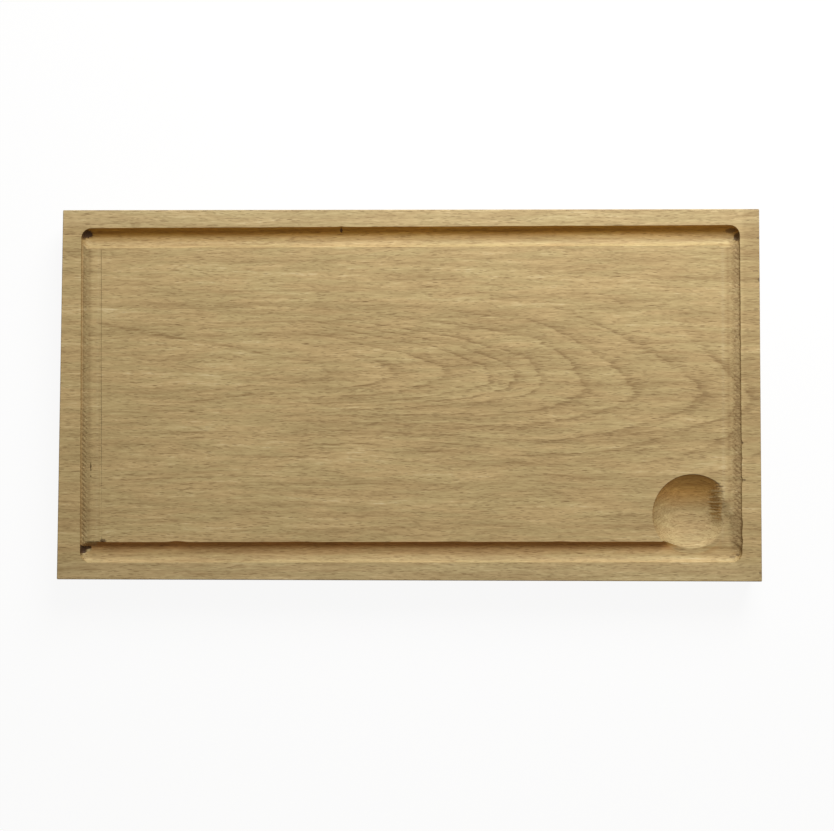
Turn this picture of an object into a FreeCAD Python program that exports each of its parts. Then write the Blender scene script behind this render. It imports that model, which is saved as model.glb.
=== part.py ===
import FreeCAD, Part
import enum
import math
import os
import Sketcher
from FreeCAD import Placement, Rotation, Vector

# A steak board: one thick plank of oak that lies flat on the table. A juice groove is routed round its
# top face, and it drains into a round sauce hollow that is cut through the groove's front right corner.
#
# The origin is the middle of the underside. +X runs along the plank and its grain, +Y points away from
# the person who eats, and +Z is up. Lengths are in millimetres and angles in degrees.

DIMENSIONS = (
    # the plank, as it is sawn and sanded
    ("board_length", 341.0, "front edge, which is the longest"),
    ("board_width", 180.0, "front edge to back edge"),
    ("board_thickness", 20.0, "underside to top face"),
    ("left_end_lean", 0.52, "angle that the left end is cut out of square"),
    ("right_end_lean", 0.17, "angle that the right end is cut out of square"),
    ("arris_radius", 0.5, "sanded round on every outer edge"),
    # the juice groove, as the round-nosed cutter leaves it
    ("groove_width", 10.0, "mouth of the groove at the top face"),
    ("groove_depth", 3.5, "top face to the groove's floor"),
    ("groove_skew", 0.2, "angle between the plank and the groove, from how it lay when it was cut"),
    ("rim_left", 11.0, "left end of the front edge to the groove"),
    ("rim_right", 9.7, "right end of the front edge to the groove"),
    ("rim_front", 8.7, "front edge to the groove"),
    ("rim_back", 8.3, "back edge to the groove"),
    # the sauce hollow, a shallow round bowl
    ("hollow_diameter", 39.0, "mouth at the top face"),
    ("hollow_depth", 8.5, "top face to the bottom of the bowl"),
    ("hollow_inset_right", 18.6, "centre to the middle of the groove's right run"),
    ("hollow_inset_front", 18.0, "centre to the middle of the groove's front run"),
)
SHEET = "Dimensions"

# Formulas on the names of the sheet. The cutter's centre follows a rectangle, the path, which is turned
# by the skew about its own middle.
PATH_LENGTH = "({board_length} - {rim_left} - {rim_right} - {groove_width})"
PATH_WIDTH = "({board_width} - {rim_front} - {rim_back} - {groove_width})"
PATH_MIDDLE_X = "({rim_left} - {rim_right}) / 2"
PATH_MIDDLE_Y = "({rim_front} - {rim_back}) / 2"
SKEW = "({groove_skew} * 1 deg)"
# A shallow groove is an arc of the cutter's round nose, whose radius follows from the mouth and the depth.
# A groove deeper than half its mouth is cut by a nose as wide as the mouth, and has upright sides above it.
ARC_RADIUS = "(({groove_width} / 2) ^ 2 + {groove_depth} ^ 2) / (2 * {groove_depth})"
CUTTER_RADIUS = "({groove_depth} < {groove_width} / 2 ? " + ARC_RADIUS + " : {groove_width} / 2)"
# The bowl is part of a ball, whose radius follows from the bowl's mouth and depth.
BALL_RADIUS = "(({hollow_diameter} / 2) ^ 2 + {hollow_depth} ^ 2) / (2 * {hollow_depth})"


class Place(enum.IntEnum):
    """How a sketch names the ends and the centre of a line or an arc."""
    START = 1
    END = 2
    CENTRE = 3


class Axis(enum.IntEnum):
    """How a sketch names its own axes."""
    ACROSS = -1
    UP = -2


START, END, CENTRE = Place
ORIGIN = (Axis.ACROSS, START)


def bound(formula):
    """Writes a formula on the sheet's names as an expression of the document."""
    return formula.format(**{name: "<<%s>>.%s" % (SHEET, name) for name, _, _ in DIMENSIONS})


def on_board(along, across):
    """Gives the formulas of x and y on the board for a place given along and across the path."""
    x = "%s + %s * cos(%s) - %s * sin(%s)" % (PATH_MIDDLE_X, along, SKEW, across, SKEW)
    y = "%s + %s * sin(%s) + %s * cos(%s)" % (PATH_MIDDLE_Y, along, SKEW, across, SKEW)
    return x, y


def make_sheet(doc):
    """Lists the driving dimensions, one to a row: name, value and meaning."""
    sheet = doc.addObject("Spreadsheet::Sheet", SHEET)
    for row, (name, value, meaning) in enumerate(DIMENSIONS, start=1):
        sheet.set("A%d" % row, name)
        sheet.set("B%d" % row, str(value))
        sheet.setAlias("B%d" % row, name)
        sheet.set("C%d" % row, meaning)
    doc.recompute()
    return sheet


def lay(sketch, plane_role, moves, turn_axis=None):
    """Lays a sketch on a plane of its body, moved and skewed in that plane's own directions."""
    body = sketch.getParentGeoFeatureGroup()
    plane = [feature for feature in body.Origin.OriginFeatures if feature.Role == plane_role][0]
    sketch.AttachmentSupport = (plane, "")
    sketch.MapMode = "FlatFace"
    if turn_axis:
        sketch.AttachmentOffset = Placement(Vector(), Rotation(turn_axis, 1.0))
        sketch.setExpression("AttachmentOffset.Rotation.Angle", bound(SKEW))
    for direction, formula in zip("xyz", moves):
        sketch.setExpression("AttachmentOffset.Base." + direction, bound(formula))


def draw_lines(sketch, points, closed=True):
    """Draws a line from each point to the next, joined at their ends, and back to the first."""
    ends = points[1:] + points[:1] if closed else points[1:]
    first = sketch.GeometryCount
    for start, end in zip(points, ends):
        sketch.addGeometry(Part.LineSegment(Vector(*start), Vector(*end)))
    last = sketch.GeometryCount - 1
    for line in range(first, last):
        sketch.addConstraint(Sketcher.Constraint("Coincident", line, END, line + 1, START))
    if closed:
        sketch.addConstraint(Sketcher.Constraint("Coincident", last, END, first, START))


def worked_out(doc, formula):
    """Gives a formula's value, from which a sketch is first drawn."""
    return float(doc.getObject(SHEET).evalExpression(bound(formula)))


def dimension(sketch, name, kind, places, formula):
    """Gives a sketch one dimension that follows the sheet."""
    sketch.addConstraint(Sketcher.Constraint(kind, *places, worked_out(sketch.Document, formula)))
    sketch.renameConstraint(sketch.ConstraintCount - 1, name)
    sketch.setExpression("Constraints." + name, bound(formula))


def draw_outline(body):
    """The plank from above: two straight long edges, and two ends that lean in towards the back."""
    sketch = body.newObject("Sketcher::SketchObject", "Outline")
    lay(sketch, "XY_Plane", ("0", "0", "0"))
    half_length = worked_out(body.Document, "{board_length} / 2")
    half_width = worked_out(body.Document, "{board_width} / 2")
    draw_lines(sketch, [(-half_length, -half_width), (half_length, -half_width),
                        (half_length, half_width), (-half_length, half_width)])
    front, right, back, left = range(4)
    sketch.addConstraint(Sketcher.Constraint("Symmetric", front, START, front, END, Axis.UP))
    sketch.addConstraint(Sketcher.Constraint("Horizontal", back))
    dimension(sketch, "length", "DistanceX", (front, START, front, END), "{board_length}")
    dimension(sketch, "width", "DistanceY", (right, START, right, END), "{board_width}")
    dimension(sketch, "front_to_middle", "DistanceY", (front, START, *ORIGIN), "{board_width} / 2")
    dimension(sketch, "left_lean", "DistanceX", (left, END, left, START),
              "{board_width} * tan({left_end_lean} * 1 deg)")
    dimension(sketch, "right_lean", "DistanceX", (right, END, right, START),
              "{board_width} * tan({right_end_lean} * 1 deg)")
    return sketch


def draw_path(body):
    """The line of the cutter's centre: a rectangle that starts in the middle of its front run."""
    sketch = body.newObject("Sketcher::SketchObject", "GroovePath")
    lay(sketch, "XY_Plane", (PATH_MIDDLE_X, PATH_MIDDLE_Y, "{board_thickness}"), Vector(0, 0, 1))
    half_length = worked_out(body.Document, PATH_LENGTH + " / 2")
    half_width = worked_out(body.Document, PATH_WIDTH + " / 2")
    draw_lines(sketch, [(0, -half_width), (half_length, -half_width), (half_length, half_width),
                        (-half_length, half_width), (-half_length, -half_width)])
    front_right, right, back, left, front_left = range(5)
    for level in (front_right, front_left):
        sketch.addConstraint(Sketcher.Constraint("Horizontal", level))
    for upright in (right, left):
        sketch.addConstraint(Sketcher.Constraint("Vertical", upright))
    sketch.addConstraint(Sketcher.Constraint("PointOnObject", front_right, START, Axis.UP))
    sketch.addConstraint(Sketcher.Constraint("Symmetric", back, START, back, END, Axis.UP))
    dimension(sketch, "length", "DistanceX", (back, END, back, START), PATH_LENGTH)
    dimension(sketch, "width", "DistanceY", (right, START, right, END), PATH_WIDTH)
    dimension(sketch, "front_to_middle", "DistanceY", (front_right, START, *ORIGIN), PATH_WIDTH + " / 2")
    return sketch


def draw_cutter(body):
    """The round-nosed cutter from the side, at the start of the path. Its nose is on the groove's floor."""
    sketch = body.newObject("Sketcher::SketchObject", "Cutter")
    start_x, start_y = on_board("0", "(-%s / 2)" % PATH_WIDTH)
    lay(sketch, "YZ_Plane", (start_y, "{board_thickness} - {groove_depth}", start_x), Vector(0, 1, 0))
    radius = worked_out(body.Document, CUTTER_RADIUS)
    depth = worked_out(body.Document, "{groove_depth}")
    nose = sketch.addGeometry(Part.ArcOfCircle(Part.Circle(Vector(0, radius), Vector(0, 0, 1), radius),
                                               math.pi, 2 * math.pi))
    draw_lines(sketch, [(radius, radius), (radius, radius + depth), (-radius, radius + depth),
                        (-radius, radius)], closed=False)
    right, top, left = range(nose + 1, nose + 4)
    sketch.addConstraint(Sketcher.Constraint("Tangent", nose, END, right, START))
    sketch.addConstraint(Sketcher.Constraint("Tangent", left, END, nose, START))
    sketch.addConstraint(Sketcher.Constraint("Vertical", right))
    sketch.addConstraint(Sketcher.Constraint("Vertical", left))
    sketch.addConstraint(Sketcher.Constraint("Horizontal", top))
    sketch.addConstraint(Sketcher.Constraint("PointOnObject", nose, CENTRE, Axis.UP))
    dimension(sketch, "nose_radius", "Radius", (nose,), CUTTER_RADIUS)
    dimension(sketch, "nose_height", "DistanceY", (*ORIGIN, nose, CENTRE), CUTTER_RADIUS)
    dimension(sketch, "side_length", "DistanceY", (right, START, right, END), "{groove_depth}")
    return sketch


def draw_bowl(body):
    """Half of the bowl's section, on its upright axis. The sketch's origin is the mouth's centre."""
    sketch = body.newObject("Sketcher::SketchObject", "Bowl")
    centre_x, centre_y = on_board("(%s / 2 - {hollow_inset_right})" % PATH_LENGTH,
                                  "({hollow_inset_front} - %s / 2)" % PATH_WIDTH)
    lay(sketch, "XZ_Plane", (centre_x, "{board_thickness}", "-(%s)" % centre_y))
    radius = worked_out(body.Document, "{hollow_diameter} / 2")
    depth = worked_out(body.Document, "{hollow_depth}")
    ball_radius = worked_out(body.Document, BALL_RADIUS)
    lip_angle = math.asin((depth - ball_radius) / ball_radius)
    ball = Part.Circle(Vector(0, ball_radius - depth), Vector(0, 0, 1), ball_radius)
    wall = sketch.addGeometry(Part.ArcOfCircle(ball, -math.pi / 2, lip_angle))
    draw_lines(sketch, [(radius, 0), (radius, depth), (0, depth), (0, -depth)], closed=False)
    side, top, axis = range(wall + 1, wall + 4)
    sketch.addConstraint(Sketcher.Constraint("Coincident", wall, END, side, START))
    sketch.addConstraint(Sketcher.Constraint("Coincident", axis, END, wall, START))
    sketch.addConstraint(Sketcher.Constraint("Vertical", side))
    sketch.addConstraint(Sketcher.Constraint("Horizontal", top))
    sketch.addConstraint(Sketcher.Constraint("PointOnObject", axis, START, Axis.UP))
    sketch.addConstraint(Sketcher.Constraint("PointOnObject", axis, END, Axis.UP))
    sketch.addConstraint(Sketcher.Constraint("PointOnObject", wall, CENTRE, Axis.UP))
    sketch.addConstraint(Sketcher.Constraint("PointOnObject", wall, END, Axis.ACROSS))
    dimension(sketch, "ball_radius", "Radius", (wall,), BALL_RADIUS)
    dimension(sketch, "depth", "DistanceY", (wall, START, *ORIGIN), "{hollow_depth}")
    dimension(sketch, "side_length", "DistanceY", (side, START, side, END), "{hollow_depth}")
    return sketch


def make_board(doc):
    """Saws the plank, sands its edges, routs the juice groove and turns the sauce hollow."""
    body = doc.addObject("PartDesign::Body", "Board")
    body.Label = "board"
    body.Placement = Placement(Vector(), Rotation())

    outline = draw_outline(body)
    plank = body.newObject("PartDesign::Pad", "Plank")
    plank.Profile = outline
    plank.setExpression("Length", bound("{board_thickness}"))
    doc.recompute()

    arris = body.newObject("PartDesign::Fillet", "Arris")
    arris.Base = (plank, ["Edge%d" % number for number in range(1, len(plank.Shape.Edges) + 1)])
    arris.setExpression("Radius", bound("{arris_radius}"))

    path = draw_path(body)
    cutter = draw_cutter(body)
    doc.recompute()
    groove = body.newObject("PartDesign::SubtractivePipe", "JuiceGroove")
    groove.Profile = cutter
    groove.Spine = (path, ["Edge%d" % number for number in range(1, path.GeometryCount + 1)])
    groove.Transition = "Round corner"

    bowl = draw_bowl(body)
    doc.recompute()
    hollow = body.newObject("PartDesign::Groove", "SauceHollow")
    hollow.Profile = bowl
    hollow.ReferenceAxis = (bowl, ["V_Axis"])
    hollow.Angle = 360.0
    doc.recompute()
    return body, (plank, arris, groove, hollow)


def check(doc, body, steps):
    """Stops the build if a feature failed, cut nothing, or left anything but one whole solid."""
    for item in doc.Objects:
        if {"Invalid", "Error"} & set(item.State):
            raise RuntimeError("%s failed: %s" % (item.Name, item.State))
    for before, after in zip(steps, steps[1:]):
        if not after.Shape.Volume < before.Shape.Volume:
            raise RuntimeError("%s cut nothing away" % after.Name)
    if body.Shape.isNull() or not body.Shape.isValid() or len(body.Shape.Solids) != 1:
        raise RuntimeError("%s is not one valid solid" % body.Label)


def main():
    doc = FreeCAD.newDocument("SteakBoard")
    make_sheet(doc)
    board, steps = make_board(doc)
    check(doc, board, steps)
    os.makedirs("parts", exist_ok=True)
    board.Shape.exportStep("parts/%s.step" % board.Label)


main()
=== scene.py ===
import math

import bmesh
import bpy
from mathutils import Matrix, Vector, noise


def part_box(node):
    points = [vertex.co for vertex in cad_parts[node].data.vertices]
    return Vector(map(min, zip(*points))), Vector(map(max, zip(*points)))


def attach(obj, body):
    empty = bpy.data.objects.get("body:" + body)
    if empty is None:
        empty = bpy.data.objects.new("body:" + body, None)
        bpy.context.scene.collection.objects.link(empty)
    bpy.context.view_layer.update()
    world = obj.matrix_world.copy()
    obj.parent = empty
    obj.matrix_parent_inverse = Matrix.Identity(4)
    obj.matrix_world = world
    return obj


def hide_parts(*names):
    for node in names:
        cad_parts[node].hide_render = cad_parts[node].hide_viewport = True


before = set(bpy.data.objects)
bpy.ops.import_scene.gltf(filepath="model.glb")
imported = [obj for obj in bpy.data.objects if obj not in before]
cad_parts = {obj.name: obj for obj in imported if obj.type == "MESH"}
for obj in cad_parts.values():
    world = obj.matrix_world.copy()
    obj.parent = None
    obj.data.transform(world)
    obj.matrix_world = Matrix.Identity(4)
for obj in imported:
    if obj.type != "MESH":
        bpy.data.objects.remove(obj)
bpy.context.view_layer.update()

# All lengths here are in metres. The board lies face up on its underside, its length along X,
# with the sauce hollow at the right-hand end and the front edge towards minus Y.

MM = 0.001
low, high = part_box("board")
face_height = high.z

# The juice groove's centre line, as the router followed it, and half the width of its mouth.
groove_radius = 5.0 * MM
groove_middle = Vector((0.65, 0.2)) * MM
groove_half_length = 155.15 * MM
groove_half_width = 76.5 * MM
groove_turn = math.radians(0.2)

# The sauce hollow: the bottom of a ball that reaches this deep.
hollow_middle = Vector((137.4, -57.8)) * MM
hollow_mouth = 19.5 * MM
hollow_depth = 8.5 * MM
ball_radius = (hollow_mouth**2 + hollow_depth**2) / (2 * hollow_depth)


# Shader maths


class Value:
    """A number or a colour that changes through the wood. Sums and products of it become Math nodes."""

    def __init__(self, finish, socket):
        self.finish = finish
        self.socket = socket

    def math(self, operation, *others):
        return self.finish.math(operation, self, *others)

    def __add__(self, other):
        return self.math("ADD", other)

    __radd__ = __add__

    def __sub__(self, other):
        return self.math("SUBTRACT", other)

    def __rsub__(self, other):
        return self.finish.math("SUBTRACT", other, self)

    def __mul__(self, other):
        return self.math("MULTIPLY", other)

    __rmul__ = __mul__

    def __truediv__(self, other):
        return self.math("DIVIDE", other)

    def __rtruediv__(self, other):
        return self.finish.math("DIVIDE", other, self)

    def __pow__(self, other):
        return self.math("POWER", other)

    def __neg__(self):
        return self * -1.0

    def at_least(self, other):
        return self.math("MAXIMUM", other)

    def at_most(self, other):
        return self.math("MINIMUM", other)

    def fraction(self):
        return self.math("FRACT")

    def size(self):
        return self.math("ABSOLUTE")

    def ramp(self, start, stop):
        """0 up to start, 1 from stop on, and a smooth rise between them."""
        return self.finish.add(
            "ShaderNodeMapRange",
            {"interpolation_type": "SMOOTHSTEP"},
            {"Value": self, "From Min": start, "From Max": stop},
        )

    def bell(self, middle, width):
        """1 at the middle, fading smoothly to 0 at that distance from it."""
        return 1.0 - (self - middle).size().ramp(0.0, width)

    def between(self, start, stop, fade):
        """1 from start to stop, with a soft fade outside them."""
        return self.ramp(start - fade, start) * (1.0 - self.ramp(stop, stop + fade))


class Finish:
    """A material, or the light of a room, built up one node at a time."""

    def __init__(self, owner):
        self.owner = owner
        self.owner.use_nodes = True
        self.tree = self.owner.node_tree
        self.tree.nodes.clear()

    def add(self, kind, settings=None, sockets=None, out=0):
        node = self.tree.nodes.new(kind)
        for name, value in (settings or {}).items():
            if name == "stops":
                self.set_stops(node.color_ramp, value)
            elif name == "line":
                self.set_line(node.mapping, value)
                node.mapping.update()
            else:
                setattr(node, name, value)
        for name, value in (sockets or {}).items():
            if isinstance(value, Value):
                self.tree.links.new(value.socket, node.inputs[name])
            else:
                node.inputs[name].default_value = value
        return Value(self, node.outputs[out])

    def set_stops(self, ramp, stops):
        while len(ramp.elements) < len(stops):
            ramp.elements.new(1.0)
        for element, (place, level) in zip(ramp.elements, stops):
            element.position = place
            element.color = (level, level, level, 1.0)

    def set_line(self, mapping, points):
        mapping.use_clip = False
        mapping.extend = "EXTRAPOLATED"
        line = mapping.curves[0]
        while len(line.points) < len(points):
            line.points.new(0.0, 0.0)
        for point, place in zip(line.points, points):
            point.location = place
            point.handle_type = "AUTO"

    def math(self, operation, *values):
        return self.add("ShaderNodeMath", {"operation": operation}, dict(enumerate(values)))

    def vector(self, x, y, z):
        return self.add("ShaderNodeCombineXYZ", None, {"X": x, "Y": y, "Z": z})

    def parts(self, vector):
        """The X, Y and Z of a vector."""
        return [self.add("ShaderNodeSeparateXYZ", None, {0: vector}, out=axis) for axis in range(3)]

    def mix(self, factor, first, second):
        """The first number where the factor is 0, the second where it is 1."""
        return self.add("ShaderNodeMix", {"data_type": "FLOAT"}, {0: factor, 2: first, 3: second})

    def blend(self, factor, first, second, way="MIX"):
        """The same for two colours."""
        return self.add(
            "ShaderNodeMix",
            {"data_type": "RGBA", "blend_type": way},
            {0: factor, 6: first, 7: second},
            out=2,
        )

    def noise(self, place, detail, roughness):
        return self.add(
            "ShaderNodeTexNoise",
            {"noise_dimensions": "3D"},
            {"Vector": place, "Scale": 1.0, "Detail": detail, "Roughness": roughness},
        )

    def seen_ray(self):
        """1 for the rays that show a surface to the camera, straight, in a gloss or through glass."""
        straight = self.add("ShaderNodeLightPath", out=0)
        glossy = self.add("ShaderNodeLightPath", out=3)
        through = self.add("ShaderNodeLightPath", out=6)
        return straight.at_least(glossy).at_least(through)

    def end(self, shader, kind="ShaderNodeOutputMaterial"):
        output = self.tree.nodes.new(kind)
        self.tree.links.new(shader.socket, output.inputs["Surface"])
        return self.owner


# The oak

# The marks that the cutter left across the grain: the pitch of the chatter along an end run, and
# how far it runs back for each millimetre to the right.
chatter_pitch = 2.4 * MM
chatter_slant = 0.9

pale_wood = (0.476, 0.364, 0.172, 1.0)
ring_wood = (0.237, 0.155, 0.065, 1.0)
pore_wood = (0.170, 0.105, 0.042, 1.0)
pink_wood = (0.469, 0.333, 0.162, 1.0)
grey_wood = (0.421, 0.331, 0.159, 1.0)
straw_wood = (0.565, 0.470, 0.275, 1.0)
# The colour of torn fibres on the right end run, which also serves as painted shade there.
torn_and_shade_wood = (0.210, 0.130, 0.050, 1.0)
burnt_and_shade_wood = (0.052, 0.025, 0.010, 1.0)
# Painted shade: tints for the forward-facing walls, away from the lamp, of the front run, the back run and
# the hollow.
front_painted_shade_tint = (1.00, 0.66, 0.39, 1.0)
back_painted_shade_tint = (1.15, 0.83, 0.34, 1.0)
hollow_painted_shade_tint = (1.22, 0.94, 0.58, 1.0)
end_grain_tint = (0.78, 0.72, 0.61, 1.0)
even_tint = (1.0, 1.0, 1.0, 1.0)
wood_roughness = 0.66
wood_gloss = 0.2
relief_height = 0.12 * MM

# In millimetres from the middle of the board: where the rims at the ends and along the long edges
# begin, and, from the middle of the groove, the torn slope of each end run.
end_rim = (162.5, 163.5)
long_rim = (84.0, 84.5)
left_slope = (155.4, 159.2)
right_slope = (153.9, 158.0)

# Where the dark line of each growth ring crosses the middle of the arches, in millimetres along
# the board, against the number of the ring.
ring_tips = [
    (-134.0, 0.0),
    (-110.0, 1.0),
    (-75.0, 2.0),
    (-41.0, 3.0),
    (-10.0, 4.0),
    (16.0, 5.0),
    (38.0, 6.0),
    (50.0, 7.0),
    (62.0, 8.0),
    (84.0, 9.0),
    (108.0, 10.0),
    (140.0, 11.0),
    (165.0, 12.0),
    (189.0, 13.0),
]

# From the start of one ring to the start of the next: the open spring wood is dark, and the
# dense summer wood is paler up to the next ring.
ring_tone = [
    (0.0, 0.30),
    (0.04, 1.0),
    (0.13, 0.72),
    (0.28, 0.34),
    (0.60, 0.14),
    (0.94, 0.0),
    (1.0, 0.30),
]

# Dark lines in the straight grain, in millimetres: start, end, half width and strength.
dark_lines = [
    ((-152.0, 34.5), (-118.0, 28.0), 1.5, 1.10),
    ((-122.0, 28.5), (-96.0, 25.0), 1.2, 1.00),
    ((-100.0, 25.5), (-52.0, 16.5), 1.3, 0.85),
    ((-166.0, 35.4), (-160.0, 35.0), 0.7, 0.75),
    ((-110.0, -3.5), (-72.0, 0.5), 0.9, 0.90),
    ((-140.0, -9.0), (-96.0, -7.5), 0.9, 0.45),
    ((-118.0, -19.0), (-78.0, -18.0), 0.9, 0.40),
    ((-90.0, -29.5), (-28.0, -31.0), 1.0, 0.80),
    ((-60.0, -24.5), (-12.0, -24.0), 0.9, 0.80),
    ((-22.0, -28.0), (46.0, -27.0), 1.0, 0.50),
    ((-140.0, -41.5), (-60.0, -39.5), 0.9, 0.40),
    ((-70.0, -44.0), (60.0, -43.0), 1.0, 0.35),
    ((40.0, -30.5), (150.0, -24.5), 0.8, 0.60),
    ((60.0, -38.5), (130.0, -43.0), 0.9, 0.55),
    ((90.0, -21.0), (150.0, -15.0), 1.0, 0.40),
    ((-104.0, 49.5), (-70.0, 50.5), 0.8, 0.35),
    ((-40.0, 55.0), (20.0, 52.0), 0.9, 0.35),
    ((20.0, 49.0), (90.0, 43.0), 1.0, 0.40),
    ((70.0, 58.0), (140.0, 51.0), 0.9, 0.35),
    ((-168.0, 7.0), (-160.0, 7.5), 0.6, 0.45),
    ((-169.0, -18.0), (-161.0, -18.0), 0.6, 0.40),
    ((163.0, 18.5), (170.0, 17.5), 0.6, 0.40),
    ((162.5, -9.0), (170.0, -9.5), 0.6, 0.40),
]

# Burns in the groove's corners, and painted shadow in the chips there and in a nick in the back edge, in
# millimetres: middle, reach along X and Y, and strength.
burns_and_chip_shadows = [
    ((-157.6, 78.7), (3.6, 2.4), 1.0),
    ((-159.3, 76.6), (1.3, 1.1), 0.7),
    ((157.0, 80.0), (3.4, 1.5), 0.60),
    ((159.6, 76.8), (1.5, 2.8), 0.85),
    ((-158.7, -75.6), (1.3, 3.0), 0.95),
    ((-156.6, -74.8), (2.6, 1.1), 0.95),
    ((-158.2, -76.2), (1.7, 1.7), 0.90),
    ((156.9, -78.4), (1.9, 0.8), 0.45),
    ((159.4, -77.3), (1.2, 0.8), 0.45),
    ((-32.8, 80.4), (0.8, 1.3), 0.90),
]

# Dark specks at the nicks and torn edges, whose dark is partly painted shadow in the breaks, written the
# same way.
specks_and_nick_shadows = [
    ((-148.1, -71.2), (1.9, 1.0), 0.80),
    ((161.3, -23.3), (1.0, 0.5), 0.55),
    ((162.0, -41.1), (1.0, 0.6), 0.60),
    ((169.3, 75.9), (1.0, 0.7), 0.45),
    ((168.0, 59.9), (1.7, 0.4), 0.50),
    ((169.6, 55.8), (0.8, 1.2), 0.60),
    ((168.1, 41.4), (1.7, 0.4), 0.40),
    ((169.6, -85.8), (0.8, 0.9), 0.50),
    ((149.4, -42.7), (2.0, 0.4), 0.50),
    ((150.6, -44.3), (2.2, 0.5), 0.60),
    ((151.0, -46.6), (2.2, 0.5), 0.55),
    ((147.8, -48.9), (2.0, 0.5), 0.45),
    ((148.6, -53.0), (1.6, 0.4), 0.35),
    ((149.2, -57.5), (1.5, 0.4), 0.30),
]


class Oak(Finish):
    """Solid oak, worked out from the place in the plank, so that the grain runs over its edges.

    Every length in it is in millimetres.
    """

    def __init__(self):
        super().__init__(bpy.data.materials.new("oak"))
        solid = self.add("ShaderNodeTexCoord", out=3)
        self.place = self.add(
            "ShaderNodeVectorMath", {"operation": "SCALE"}, {0: solid, "Scale": 1.0 / MM}
        )
        self.x, self.y, self.z = self.parts(self.place)
        self.depth = face_height / MM - self.z
        facing = self.parts(self.add("ShaderNodeTexCoord", out=1))
        self.facing_front = -facing[1]
        self.end_grain = facing[0].size().ramp(0.35, 0.95)
        self.on_right = self.x.ramp(0.0, 1.0)
        self.find_grain()
        self.find_cuts()

    def cloud(self, place, cell, detail=1.0, roughness=0.5, shift=(0.0, 0.0, 0.0)):
        """Smooth noise from 0 to 1, with the size of its cells along, across and through the plank."""
        shrunk = self.add("ShaderNodeVectorMath", {"operation": "DIVIDE"}, {0: place, 1: cell})
        moved = self.add("ShaderNodeVectorMath", {"operation": "ADD"}, {0: shrunk, 1: shift})
        return self.noise(moved, detail, roughness)

    def cells(self, cell):
        """How far a place is from the middle of the nearest of many scattered cells, along the fibre."""
        shrunk = self.add("ShaderNodeVectorMath", {"operation": "DIVIDE"}, {0: self.fibre, 1: cell})
        return self.add(
            "ShaderNodeTexVoronoi",
            {"voronoi_dimensions": "3D"},
            {"Vector": shrunk, "Scale": 1.0, "Randomness": 1.0},
        )

    def find_grain(self):
        """Finds slow waves that keep the grain from being ruled lines, and fibres in three sizes."""
        self.wave = self.cloud(self.place, (46.0, 15.0, 17.0), 2.0) - 0.5
        self.sway = self.cloud(self.place, (70.0, 30.0, 30.0), shift=(7.3, 0.0, 0.0)) - 0.5
        self.ripple = self.cloud(self.place, (14.0, 4.0, 6.0), 2.0, shift=(3.1, 0.0, 0.0)) - 0.5
        flow = self.y + self.wave * 3.5 + self.ripple * 0.6
        self.fibre = self.vector(self.x, flow, self.z)
        self.broad = self.cloud(self.fibre, (62.0, 3.0, 3.0), 1.0, 0.55) - 0.5
        self.streak = self.cloud(self.fibre, (15.0, 1.05, 1.05), 2.0, 0.6) - 0.5
        self.thread = self.cloud(self.fibre, (4.6, 0.46, 0.46), 2.0, 0.6) - 0.5
        self.patch = self.cloud(self.place, (60.0, 22.0, 22.0), shift=(0.0, 0.0, 4.0)) - 0.5
        self.tint = self.cloud(self.fibre, (26.0, 3.6, 9.0), shift=(11.0, 0.0, 0.0))
        self.crowd = self.cloud(self.fibre, (30.0, 2.2, 2.2), shift=(5.0, 0.0, 0.0)).ramp(0.42, 0.66)

    def find_cuts(self):
        """Finds where the cutters went: below the top face and clear of the outer edges."""
        off_the_rims = (1.0 - self.x.size().ramp(*end_rim)) * (1.0 - self.y.size().ramp(*long_rim))
        self.routed = self.depth.ramp(0.05, 0.5) * off_the_rims
        self.from_middle = (self.x - groove_middle.x / MM).size()
        slope = self.mix(
            self.on_right, self.from_middle.ramp(*left_slope), self.from_middle.ramp(*right_slope)
        )
        self.end_run = self.routed * slope * (1.0 - self.y.size().ramp(74.0, 77.0))
        self.hollow_x = self.x - hollow_middle.x / MM
        self.hollow_y = self.y - hollow_middle.y / MM
        from_hollow = (self.hollow_x * self.hollow_x + self.hollow_y * self.hollow_y) ** 0.5
        inside_mouth = 1.0 - from_hollow.ramp(hollow_mouth / MM - 1.0, hollow_mouth / MM)
        self.in_hollow = self.routed * inside_mouth * (1.0 - self.x.ramp(151.0, 152.0))

    def growth_rings(self):
        """Strongest along the dark spring wood of each ring.

        Each ring is a long arch with its tip to the right. Away from the middle the arches run out
        into nearly straight grain.
        """
        x = self.x
        middle_line = 10.0 - (x - 20.0).at_least(0.0) * 0.075
        off = self.y + self.sway * 3.6 + self.wave * 1.6 - middle_line
        upper = off.ramp(-0.5, 0.5)
        straight = off.size().ramp(14.0, 56.0)
        jagged = x + self.wave * 10.0 + self.ripple * 7.0 + self.streak * 6.5 + self.thread * 2.0
        along = jagged * (1.0 - straight * (0.72 - upper * 0.30))
        swell = (x - 62.0) / 25.0
        swelling = self.math("EXPONENT", -(swell * swell)) * off.bell(0.0, 46.0)
        steepness = self.mix(upper, 8.0, 4.5 - x * 0.013)
        bluntness = self.mix(upper, 14.0 + 270.0 * x.ramp(-80.0, 110.0), 45.0 + 60.0 * swelling)
        rise_off_middle = off * steepness
        arch = self.math("SQRT", rise_off_middle * rise_off_middle + bluntness * bluntness) - bluntness
        ring = self.add(
            "ShaderNodeFloatCurve",
            {"line": ring_tips},
            {"Value": along + arch + self.depth * 5.0, "Factor": 1.0},
        )
        tone = self.add("ShaderNodeValToRGB", {"stops": ring_tone}, {"Fac": ring.fraction()})
        arches = x.between(-10.0, 150.0, 60.0) * off.between(-26.0, 20.0, 20.0)
        patchy = self.cloud(self.fibre, (20.0, 7.0, 7.0), shift=(2.0, 0.0, 0.0)).ramp(0.30, 0.62)
        return tone * (0.16 + arches * 0.28 + arches * patchy * 0.40 + self.end_grain * 0.55)

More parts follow.
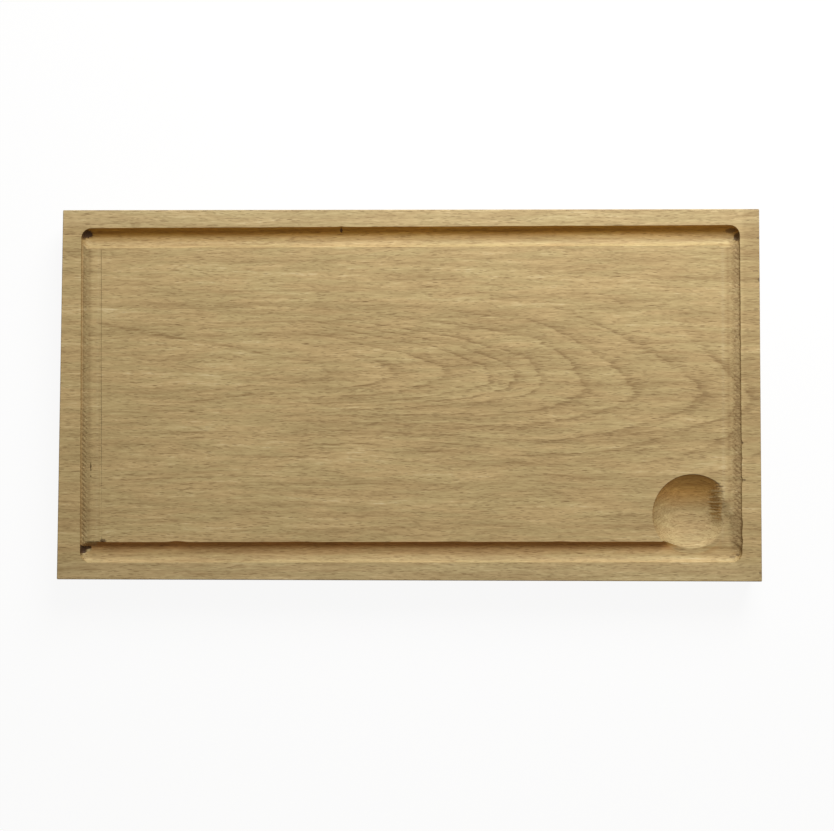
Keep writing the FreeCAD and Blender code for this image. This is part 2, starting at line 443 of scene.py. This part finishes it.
    def pores(self, rings):
        """Short and long dark dashes along the fibre, crowded into the spring wood."""
        short_reach = 0.26 + rings * 0.36 + self.crowd * 0.12
        long_reach = 0.12 + rings * 0.14 + self.crowd * 0.16
        short = 1.0 - (self.cells((4.6, 0.66, 0.66)) / short_reach).ramp(0.5, 1.0)
        long = 1.0 - (self.cells((12.0, 1.30, 1.30)) / long_reach).ramp(0.4, 1.0)
        return short, long

    def painted_wall_shade(self):
        """Painted shade: the walls of the long runs and the hollow that face forwards, away from the lamp,
        tinted with the colour of their shade.
        """
        on_end_run = self.x.size().ramp(150.5, 152.5) * (1.0 - self.y.size().ramp(71.0, 75.0))
        beside_hollow = self.x.ramp(143.0, 153.0) * (1.0 - self.y.ramp(-41.0, -40.0))
        spared = beside_hollow * (1.0 - self.in_hollow) * 0.7
        turned = self.mix(
            self.in_hollow, self.facing_front.ramp(-0.25, 0.45), self.facing_front.ramp(0.0, 0.50)
        )
        return self.routed * (1.0 - on_end_run) * (1.0 - spared) * turned

    def torn_and_shaded(self):
        """Fibres torn out where the cutter crossed the grain: slanting chatter and fuzz, with painted shade
        darkening the deep outer part of each end run towards its outer wall.
        """
        torn = self.cloud(self.place, (1.5, 0.8, 1.2), 3.0, 0.65)
        slanting = self.y + self.x * chatter_slant + (torn - 0.5) * 2.8
        chatter = self.math("SINE", slanting * (2.0 * math.pi * MM / chatter_pitch)).ramp(-0.2, 0.9)
        fuzz = torn.ramp(0.40, 0.62)
        uneven = self.cloud(self.place, (4.0, 5.0, 4.0)).ramp(0.35, 0.62)
        on_wall = self.from_middle.ramp(159.0, 159.5)
        towards_front = 1.0 - self.y.ramp(-28.0, 8.0) * 0.7
        left = 0.06 + on_wall * 0.30 + fuzz * 0.25 + chatter * towards_front * 0.45
        right = 0.26 + fuzz * 0.42 + chatter * uneven * 0.42
        at_ends = self.end_run * self.mix(self.on_right, left, right)
        by_wall = self.hollow_x.ramp(3.0, 11.0) * self.hollow_y.between(-6.0, 11.0, 4.0)
        in_hollow = self.in_hollow * by_wall * fuzz * 0.18
        return (at_ends + in_hollow).at_most(0.9)

    def lines(self):
        """The dark lines in the straight grain, each fading at its sides and its ends."""
        ragged_y = self.y + self.wave * 2.6 + self.ripple * 1.3
        total = 0.0
        for start, stop, half_width, strength in dark_lines:
            slope = (stop[1] - start[1]) / (stop[0] - start[0])
            fade = 0.2 * (stop[0] - start[0])
            beside = (ragged_y - self.x * slope).bell(start[1] - start[0] * slope, half_width)
            total = beside * self.x.between(start[0] + fade, stop[0] - fade, fade) * strength + total
        return total * (1.0 - self.depth.ramp(0.5, 6.0)) * (0.45 + self.crowd * 0.55 + self.thread * 1.2)

    def spots(self, marks):
        """1 in the middle of each mark, with a ragged edge at its reach."""
        grime = self.cloud(self.place, (0.9, 0.9, 0.9)) - 0.5
        total = 0.0
        for middle, reach, strength in marks:
            along = (self.x - middle[0]) / reach[0]
            across = (self.y - middle[1]) / reach[1]
            away = (along * along + across * across) ** 0.5
            total = (1.0 - (away + grime * 0.9).ramp(0.55, 1.0)) * strength + total
        return total


def make_oak():
    oak = Oak()
    x, y, depth = oak.x, oak.y, oak.depth
    rings = oak.growth_rings()
    pore, long_pore = oak.pores(rings)
    torn_and_shaded = oak.torn_and_shaded()
    # Burns and dark specks; in the chips and nicks their dark is partly painted shadow.
    burns_and_chip_shade = oak.spots(burns_and_chip_shadows) * depth.ramp(0.15, 0.5)
    specks_and_nick_shade = oak.spots(specks_and_nick_shadows) * (1.0 - depth.ramp(0.8, 3.0))

    # A painted highlight runs as a pale line along the inner edge of each end run, and a line of painted
    # shade beside the left one.
    beside_field = 1.0 - y.size().ramp(70.0, 72.0)
    right_inner_highlight = (x - 152.2).bell(0.0, 1.3) * beside_field
    left_inner_highlight = (x + 151.2).bell(0.0, 0.9) * beside_field
    left_inner_shade = (x + 149.9).bell(0.0, 0.5) * beside_field * (0.4 + oak.crowd * 0.6)

    # The front and back rims are paler. The outer edges are a little darker, and so is the back of the
    # right-hand end.
    rim = y.size().ramp(80.0, 83.0)
    arris = (depth - 0.25).bell(0.0, 0.6) * (1.0 - oak.routed) * depth.ramp(0.02, 0.2)
    right_back_darkening = x.ramp(161.0, 163.0) * y.ramp(-40.0, 30.0)

    # Rays show as fine pale lines where the plank is cut across.
    rays = oak.cloud(oak.place, (30.0, 0.5, 9.0)).ramp(0.58, 0.74) * oak.end_grain

    grain = oak.broad * 0.92 + oak.streak * 0.82 + oak.thread * 1.35 + oak.patch * 0.45
    edges = arris * 0.35 + left_inner_shade * 0.12 + right_back_darkening * 0.20
    dark = 0.29 + rings * 0.55 + grain + oak.lines() * 0.75 + edges
    pale = (-dark).ramp(-0.12, 0.45) + rim * 0.22 + right_inner_highlight * 0.22 + left_inner_highlight * 0.14

    colour = oak.blend(oak.tint.ramp(0.36, 0.64), grey_wood, pink_wood)
    colour = oak.blend(0.52, pale_wood, colour)
    colour = oak.blend(pale, colour, straw_wood)
    colour = oak.blend(dark.at_least(0.0).at_most(1.0), colour, ring_wood)
    colour = oak.blend(rays * 0.40, colour, straw_wood)
    colour = oak.blend((pore * 0.52 + long_pore * 0.46).at_most(1.0), colour, pore_wood)
    # Painted shade: the forward-facing walls of the runs and the hollow take the shade tints.
    painted_shade_tint = oak.blend(y.ramp(-20.0, 20.0), front_painted_shade_tint, back_painted_shade_tint)
    painted_shade_tint = oak.blend(oak.in_hollow, painted_shade_tint, hollow_painted_shade_tint)
    colour = oak.blend(1.0, colour, oak.blend(oak.painted_wall_shade(), even_tint, painted_shade_tint), "MULTIPLY")
    colour = oak.blend(1.0, colour, oak.blend(oak.end_grain, even_tint, end_grain_tint), "MULTIPLY")
    # Torn fibres, with painted shade in the deep outer part of the end runs.
    colour = oak.blend(torn_and_shaded, colour, oak.blend(oak.on_right, torn_and_shade_wood, pore_wood))
    # Burns and dark specks, partly painted shadow in the chips and nicks.
    colour = oak.blend((burns_and_chip_shade + specks_and_nick_shade).at_most(1.0), colour, burnt_and_shade_wood)

    relief = oak.thread * 0.5 + oak.streak * 0.4 - pore * 0.6 - rings * 0.2 - torn_and_shaded * 1.2
    bump = oak.add(
        "ShaderNodeBump", None, {"Strength": 0.5, "Distance": relief_height, "Height": relief}
    )
    surface = oak.add(
        "ShaderNodeBsdfPrincipled",
        None,
        {
            "Base Color": colour,
            "Roughness": wood_roughness,
            "Specular IOR Level": wood_gloss,
            "Normal": bump,
        },
    )
    return oak.end(surface)


# The plank

slice_across_grain = 0.6 * MM
slice_along_grain = 1.2 * MM
slice_hollow = 0.9 * MM
sharp_angle = math.radians(25.0)
tiny = 0.001 * MM

# The routed faces lie within this distance of the middle, and above this height.
routed_reach = Vector((163.0, 85.0)) * MM
routed_floor = 5.0 * MM

# The router went deeper along the back edge than along the front. The higher the fullness, the
# flatter the floor and the steeper the walls: 2 is an ellipse.
front_depth = 2.9 * MM
back_depth = 4.2 * MM
front_fullness = 2.4
back_fullness = 2.4

# The end runs slope down gently to a steep outer wall: depth at the wall, where the slope starts
# (-1 is the inner edge, 1 the outer one), how hollow the slope is, and the width of the wall.
left_run = (1.4 * MM, -0.25, 2.0, 0.14)
right_run = (2.0 * MM, -0.60, 2.0, 0.50)
end_run_step = 0.05 * MM

# The hollow stops at a torn wall beside the right end run, except towards the front, where the
# point of wood between them is worn down.
hollow_wall = (146.2 * MM, 153.0 * MM)
hollow_wall_fade = (-66.0 * MM, -49.0 * MM)
worn_point = Vector((151.5, -70.8)) * MM
worn_reach = 12.0 * MM
worn_reach_back = 20.0 * MM
worn_flat_share = 0.3
worn_depth = 2.7 * MM

# How far a routed edge wanders: in a slow wave along the grain, and in two sizes of fray across it.
edge_wave = 0.07 * MM
coarse_fray = 0.08 * MM
fine_fray = 0.16 * MM

# How deep the fibres are torn out of the outer walls of the end runs. The left one is torn deeper
# towards the front.
torn_wall = (155.5 * MM, 157.5 * MM)
left_tear = (0.10 * MM, 0.26 * MM)
left_tear_rise = (-5.0 * MM, 35.0 * MM)
right_tear = 0.30 * MM

# Nicks in the groove's edges, in millimetres: place, half length and how far they reach into the wood.
nicks = [
    ((-32.8, 81.3), 1.0, 0.5),
    ((161.1, -23.3), 1.4, 0.7),
    ((161.6, -30.5), 2.6, 0.4),
    ((161.8, -41.1), 1.8, 0.8),
    ((161.6, -62.0), 3.0, 0.4),
    ((161.6, -70.5), 2.2, 0.5),
    ((-149.0, -71.3), 2.0, 0.9),
    ((-112.0, -71.6), 5.5, 0.55),
    ((-52.0, -71.3), 7.0, 0.20),
    ((22.0, -71.3), 9.0, 0.20),
    ((74.0, -71.3), 5.0, 0.25),
]

# Where wood broke out below the surface, in millimetres: place, reach and depth.
pits = [
    ((-158.3, -75.6), 2.4, 1.1),
    ((-155.8, -74.8), 1.6, 0.8),
    ((159.6, 76.6), 1.6, 0.5),
    ((158.2, -77.9), 2.0, 0.2),
]


def rise(value, start, stop):
    """0 up to start, 1 from stop on, and a smooth rise between them."""
    share = max(0.0, min(1.0, (value - start) / (stop - start)))
    return share * share * (3.0 - 2.0 * share)


def between(first, second, share):
    return first + (second - first) * share


def is_routed(face):
    """True for a face of the juice groove or the sauce hollow."""
    middle = face.calc_center_median()
    below_top = routed_floor < middle.z < face_height - tiny
    return below_top and abs(middle.x) < routed_reach.x and abs(middle.y) < routed_reach.y


def slice_across(plank, faces, direction, step):
    """Cuts faces into slices of one thickness, so that they can follow the torn surface of the wood."""
    reaches = [vertex.co.dot(direction) for face in faces for vertex in face.verts]
    count = math.ceil((max(reaches) - min(reaches)) / step)
    slice_at(plank, faces, direction, [min(reaches) + step * number for number in range(1, count)])


def slice_at(plank, faces, direction, places):
    """Cuts faces in two at the middle place, then each half at the places that are left."""
    if not faces or not places:
        return
    middle = len(places) // 2
    edges = dict.fromkeys(edge for face in faces for edge in face.edges)
    points = dict.fromkeys(vertex for face in faces for vertex in face.verts)
    cut = bmesh.ops.bisect_plane(
        plank,
        geom=[*faces, *edges, *points],
        dist=0.004 * MM,
        plane_co=direction * places[middle],
        plane_no=direction,
    )
    pieces = [item for item in cut["geom"] if isinstance(item, bmesh.types.BMFace)]
    near = []
    far = []
    for face in pieces:
        before_cut = face.calc_center_median().dot(direction) < places[middle]
        (near if before_cut else far).append(face)
    slice_at(plank, near, direction, places[:middle])
    slice_at(plank, far, direction, places[middle + 1 :])


def slice_routed(plank):
    """Slices the routed faces both ways, more finely across the groove than along it."""
    along = Vector((1, 0, 0))
    across = Vector((0, 1, 0))
    inner_end = groove_half_length - groove_radius

    def in_hollow(middle):
        return (middle.xy - hollow_middle).length < hollow_mouth

    def on_end_run(middle):
        return abs(middle.x) > inner_end

    def on_long_run(middle):
        return not on_end_run(middle)

    def on_left_run(middle):
        return on_end_run(middle) and middle.x < 0

    def on_right_run(middle):
        return on_end_run(middle) and middle.x > 0

    def on_front_run(middle):
        return on_long_run(middle) and middle.y < 0

    def on_back_run(middle):
        return on_long_run(middle) and middle.y > 0

    cuts = [
        (in_hollow, along, slice_hollow),
        (in_hollow, across, slice_hollow),
        (on_long_run, along, slice_along_grain),
        (on_end_run, across, slice_across_grain),
        (on_front_run, across, slice_across_grain),
        (on_back_run, across, slice_across_grain),
        (on_left_run, along, slice_across_grain),
        (on_right_run, along, slice_across_grain),
    ]
    for lies_there, direction, step in cuts:
        faces = [face for face in plank.faces if is_routed(face) and lies_there(face.calc_center_median())]
        slice_across(plank, faces, direction, step)


def on_groove_path(point):
    """The place in the groove's own square frame."""
    away = point.xy - groove_middle
    away.rotate(Matrix.Rotation(-groove_turn, 2))
    return away


def long_run_depth(away):
    """How deep the front or back run is here. Past its end the cutter left a round end."""
    beyond_end = max(0.0, abs(away.x) - groove_half_length)
    across = math.hypot(abs(away.y) - groove_half_width, beyond_end) / groove_radius
    share = (away.y + groove_half_width) / (2 * groove_half_width)
    fullness = between(front_fullness, back_fullness, share)
    reach = max(0.0, 1.0 - min(1.0, across) ** fullness)
    return between(front_depth, back_depth, share) * reach ** (1.0 / fullness)


def end_run_depth_at(away):
    """The same for the left or right run."""
    beyond_side = max(0.0, abs(away.y) - groove_half_width)
    across = (abs(away.x) - groove_half_length) / groove_radius
    if beyond_side > 0:
        across = math.copysign(math.hypot(across, beyond_side / groove_radius), across)
    if abs(across) >= 1.0:
        return 0.0
    deepest, slope_start, hollowness, wall_width = left_run if away.x < 0 else right_run
    step = end_run_step * rise(across, -1.0, -0.7)
    lowered = max(0.0, (across - slope_start) / (1.0 - slope_start)) ** hollowness
    wall = min(1.0, (1.0 - across) / wall_width) ** 0.6
    return between(step, deepest, lowered) * wall


def hollow_depth_at(point):
    away = (point.xy - hollow_middle).length
    if away >= hollow_mouth:
        return 0.0
    ragged = 0.7 * MM * noise.noise(Vector((point.x * 200.0, point.y * 1100.0, 0.0)))
    walled = rise(point.x + ragged, *hollow_wall) * rise(point.y, *hollow_wall_fade)
    return (math.sqrt(ball_radius**2 - away**2) - ball_radius + hollow_depth) * (1.0 - walled)


def wear_at(point):
    """1 where the point of wood beside the hollow is worn down in full, fading to 0 around it."""
    away = point.xy - worn_point
    if away.y > 0:
        away.y *= worn_reach / worn_reach_back
    return 1.0 - rise(away.length, worn_flat_share * worn_reach, worn_reach)


def routed_depth(point):
    """How deep the cutters and the wear went at this place."""
    away = on_groove_path(point)
    depth = max(long_run_depth(away), end_run_depth_at(away), hollow_depth_at(point))
    return between(depth, max(depth, worn_depth), wear_at(point))


def nick_at(point):
    """How far the groove's edge is broken back into the wood at this place."""
    deepest = 0.0
    for (x, y), half_length, reach in nicks:
        away = (point.xy - Vector((x, y)) * MM).length / (half_length * MM)
        ragged = 0.35 * noise.noise(point * 900.0)
        deepest = max(deepest, reach * MM * (1.0 - min(1.0, away)) * (1.0 + ragged))
    return deepest


def pit_at(point):
    """How deep the wood has broken out at this place."""
    deepest = 0.0
    for (x, y), reach, depth in pits:
        away = (point.xy - Vector((x, y)) * MM).length / (reach * MM)
        ragged = 0.4 * noise.noise(point * 700.0)
        deepest = max(deepest, depth * MM * (1.0 - rise(away, 0.3, 1.0)) * (1.0 + ragged))
    return deepest


def edge_wander(point):
    """The slight unevenness of a routed edge: wavy along the grain, frayed across it."""
    across_grain = abs(point.x) > groove_half_length and abs(point.y) < 74.0 * MM
    if across_grain:
        fine = abs(noise.noise(Vector((0.5, point.y * 1100.0, 0.5))))
        coarse = noise.noise(Vector((0.5, point.y * 300.0, 0.5)))
        return fine_fray * fine + coarse_fray * coarse
    return edge_wave * noise.noise(point * 120.0)


def tear(point):
    """How deep the fibres are torn out of a wall that crosses the grain."""
    on_wall = rise(abs(point.x), *torn_wall)
    if on_wall == 0.0 or abs(point.y) > 75.0 * MM:
        return 0.0
    fuzz = abs(noise.noise(Vector((point.x * 400.0, point.y * 1500.0, point.z * 500.0))))
    if point.x > 0:
        return on_wall * right_tear * fuzz
    deepest = between(*left_tear, rise(-point.y, *left_tear_rise))
    chatter = 0.5 + 0.5 * math.sin((point.y + chatter_slant * point.x) * 2 * math.pi / chatter_pitch)
    return on_wall * deepest * (0.6 * chatter + 0.7 * fuzz)


def roughen(plank):
    """Gives the routed surfaces their real depth and the marks that the cutters left."""
    plank.normal_update()
    moved = {}
    for vertex in dict.fromkeys(vertex for face in plank.faces if is_routed(face) for vertex in face.verts):
        point = vertex.co
        flat = Vector((vertex.normal.x, vertex.normal.y, 0.0))
        into_wood = -flat.normalized() if flat.length > 0.05 else Vector()
        at_hollow = rise(hollow_mouth + 1.0 * MM - (point.xy - hollow_middle).length, 0.0, 1.0 * MM)
        if face_height - point.z < tiny:
            torn_edge = 0.6 * MM * abs(noise.noise(point * 800.0)) * rise(point.x, 146.0 * MM, 148.0 * MM)
            reach = between(edge_wander(point), torn_edge, at_hollow) + nick_at(point)
            moved[vertex] = point + into_wood * reach
        else:
            depth = routed_depth(point)
            near_mouth = max(0.0, 1.0 - depth / (2.5 * MM)) * (1.0 - at_hollow)
            reach = (edge_wander(point) + nick_at(point)) * near_mouth
            lowered = Vector((point.x, point.y, face_height - depth - pit_at(point) - tear(point)))
            moved[vertex] = lowered + into_wood * reach
    for vertex, point in moved.items():
        vertex.co = point


def renew_top_face(plank):
    """Lays the top face again between the outer edge and the mouths of the groove and the hollow."""
    old = [
        face
        for face in plank.faces
        if face.normal.z > 0.9999 and face.calc_center_median().z > face_height - tiny
    ]
    bmesh.ops.delete(plank, geom=old, context="FACES")
    rim = [edge for edge in plank.edges if edge.is_boundary]
    bmesh.ops.triangle_fill(plank, use_beauty=True, edges=rim, normal=(0.0, 0.0, 1.0))


def make_plank(finish):
    plank = bmesh.new()
    plank.from_mesh(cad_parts["board"].data)
    bmesh.ops.remove_doubles(plank, verts=plank.verts, dist=tiny)
    slice_routed(plank)
    roughen(plank)
    renew_top_face(plank)
    plank.normal_update()
    for face in plank.faces:
        face.smooth = True
    for edge in plank.edges:
        routed = all(is_routed(face) for face in edge.link_faces)
        flat = any(face.normal.z > 0.99999 for face in edge.link_faces)
        edge.smooth = routed or (edge.calc_face_angle(0.0) < sharp_angle and not flat)
    mesh = bpy.data.meshes.new("oak_plank")
    plank.to_mesh(mesh)
    plank.free()
    mesh.materials.append(finish)
    piece = bpy.data.objects.new("oak_plank", mesh)
    bpy.context.scene.collection.objects.link(piece)
    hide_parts("board")
    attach(piece, "root")


# The studio

floor_size = 6.0
floor_gap = 0.2 * MM
floor_colour = (0.8, 0.8, 0.8, 1.0)
floor_whiteness = 0.92
white_colour = (1.0, 1.0, 1.0, 1.0)
lamp_middle = Vector((0.205, 0.557, 0.502))
lamp_size = 0.5
lamp_power = 9.1
room_level = 0.22
room_colour = (1.0, 0.85, 0.68, 1.0)
camera_place = Vector((14.17, -23.89, 620.55)) * MM
camera_turns = [math.radians(turn) for turn in (1.3040, 0.9348, 0.0849)]
camera_lens = 53.525
camera_sensor = 36.0


def make_floor():
    paper = Finish(bpy.data.materials.new("floor_paper"))
    lit = paper.add("ShaderNodeBsdfDiffuse", None, {"Color": floor_colour})
    white = paper.add("ShaderNodeEmission", None, {"Color": white_colour, "Strength": 1.0})
    shown = paper.add("ShaderNodeMixShader", None, {0: floor_whiteness, 1: lit, 2: white})
    surface = paper.add("ShaderNodeMixShader", None, {0: paper.seen_ray(), 1: lit, 2: shown})
    sheet = bmesh.new()
    bmesh.ops.create_grid(sheet, x_segments=1, y_segments=1, size=floor_size / 2)
    bmesh.ops.translate(sheet, verts=sheet.verts, vec=(0.0, 0.0, -floor_gap))
    mesh = bpy.data.meshes.new("floor")
    sheet.to_mesh(mesh)
    sheet.free()
    mesh.materials.append(paper.end(surface))
    floor = bpy.data.objects.new("floor", mesh)
    bpy.context.scene.collection.objects.link(floor)


def make_lamp():
    lamp = bpy.data.lights.new("window", "AREA")
    lamp.shape = "DISK"
    lamp.size = lamp_size
    lamp.energy = lamp_power
    holder = bpy.data.objects.new("window", lamp)
    holder.location = lamp_middle
    holder.rotation_euler = lamp_middle.to_track_quat("Z", "Y").to_euler()
    bpy.context.scene.collection.objects.link(holder)


def make_room():
    """The light that comes from all round. The room itself is seen as white."""
    room = Finish(bpy.data.worlds.new("room"))
    glow = room.add("ShaderNodeBackground", None, {"Color": room_colour, "Strength": room_level})
    white = room.add("ShaderNodeBackground", None, {"Color": white_colour, "Strength": 1.0})
    surface = room.add("ShaderNodeMixShader", None, {0: room.seen_ray(), 1: glow, 2: white})
    bpy.context.scene.world = room.end(surface, "ShaderNodeOutputWorld")


def make_camera():
    lens = bpy.data.cameras.new("camera")
    lens.lens = camera_lens
    lens.sensor_width = camera_sensor
    camera = bpy.data.objects.new("camera", lens)
    camera.location = camera_place
    camera.rotation_euler = camera_turns
    bpy.context.scene.collection.objects.link(camera)
    bpy.context.scene.camera = camera


make_plank(make_oak())
make_floor()
make_lamp()
make_room()
make_camera()
bpy.context.scene.view_settings.view_transform = "Standard"
